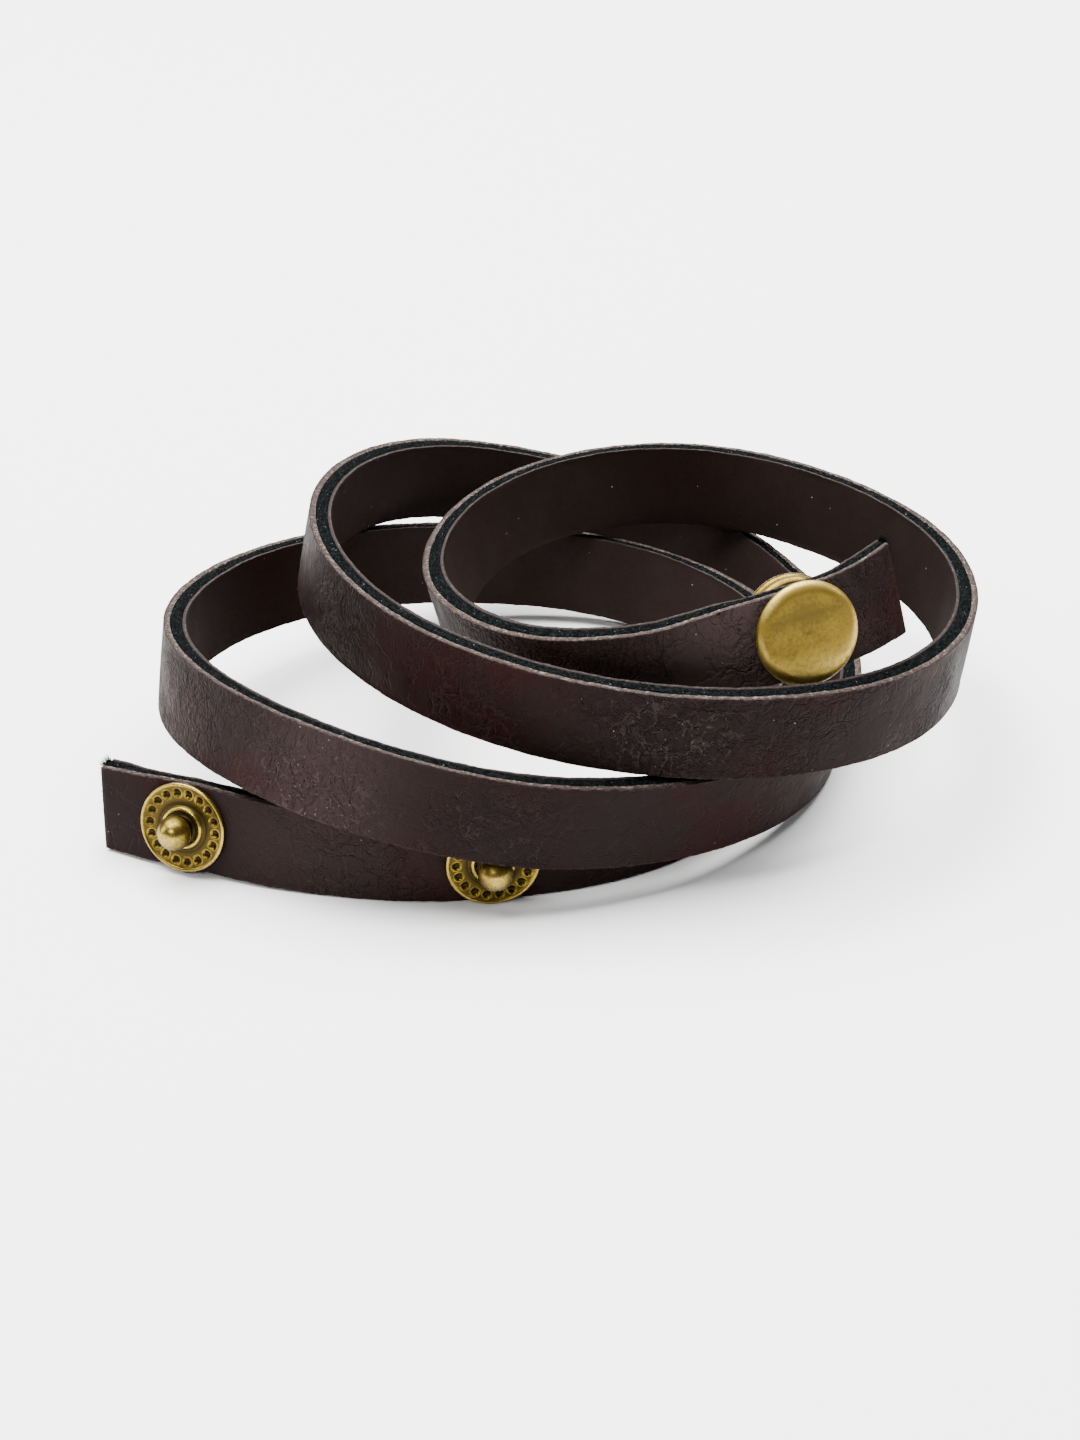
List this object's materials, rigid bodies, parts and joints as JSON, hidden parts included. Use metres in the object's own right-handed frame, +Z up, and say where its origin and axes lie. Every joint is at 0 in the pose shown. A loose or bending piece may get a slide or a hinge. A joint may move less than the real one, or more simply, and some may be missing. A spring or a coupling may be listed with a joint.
{
  "type": "leather wrap bracelet",
  "caption": "Leather wrap bracelet: a long layered strap lying on its edge in loose turns, with a round snap at one end and snap studs near the other.",
  "frame": {"origin": "middle of the bounding box's bottom, on the surface that the bracelet lies on", "axes": "+X to the right of the front view, +Y away from the viewer, +Z up from the surface"},
  "size_m": [0.1079, 0.0956, 0.0385],
  "materials": {
    "outer_leather": "dark brown, satin, finely crackled",
    "core_felt": "black, matte, fibrous",
    "lining_leather": "dark brown, smooth, matte",
    "cap_brass": "antique, satin, mottled patina",
    "socket_brass": "antique, satin",
    "stud_brass": "antique, darkened in its hollows",
    "back_brass": "antique, dark"
  },
  "bodies": {
    "root": {"strap_outer": "outer_leather", "strap_core": "core_felt", "strap_lining": "lining_leather", "snap_cap": "cap_brass", "snap_socket": "socket_brass", "stud_1": "stud_brass", "stud_1_back": "back_brass", "stud_2": "stud_brass", "stud_2_back": "back_brass"}
  },
  "joints": []
}
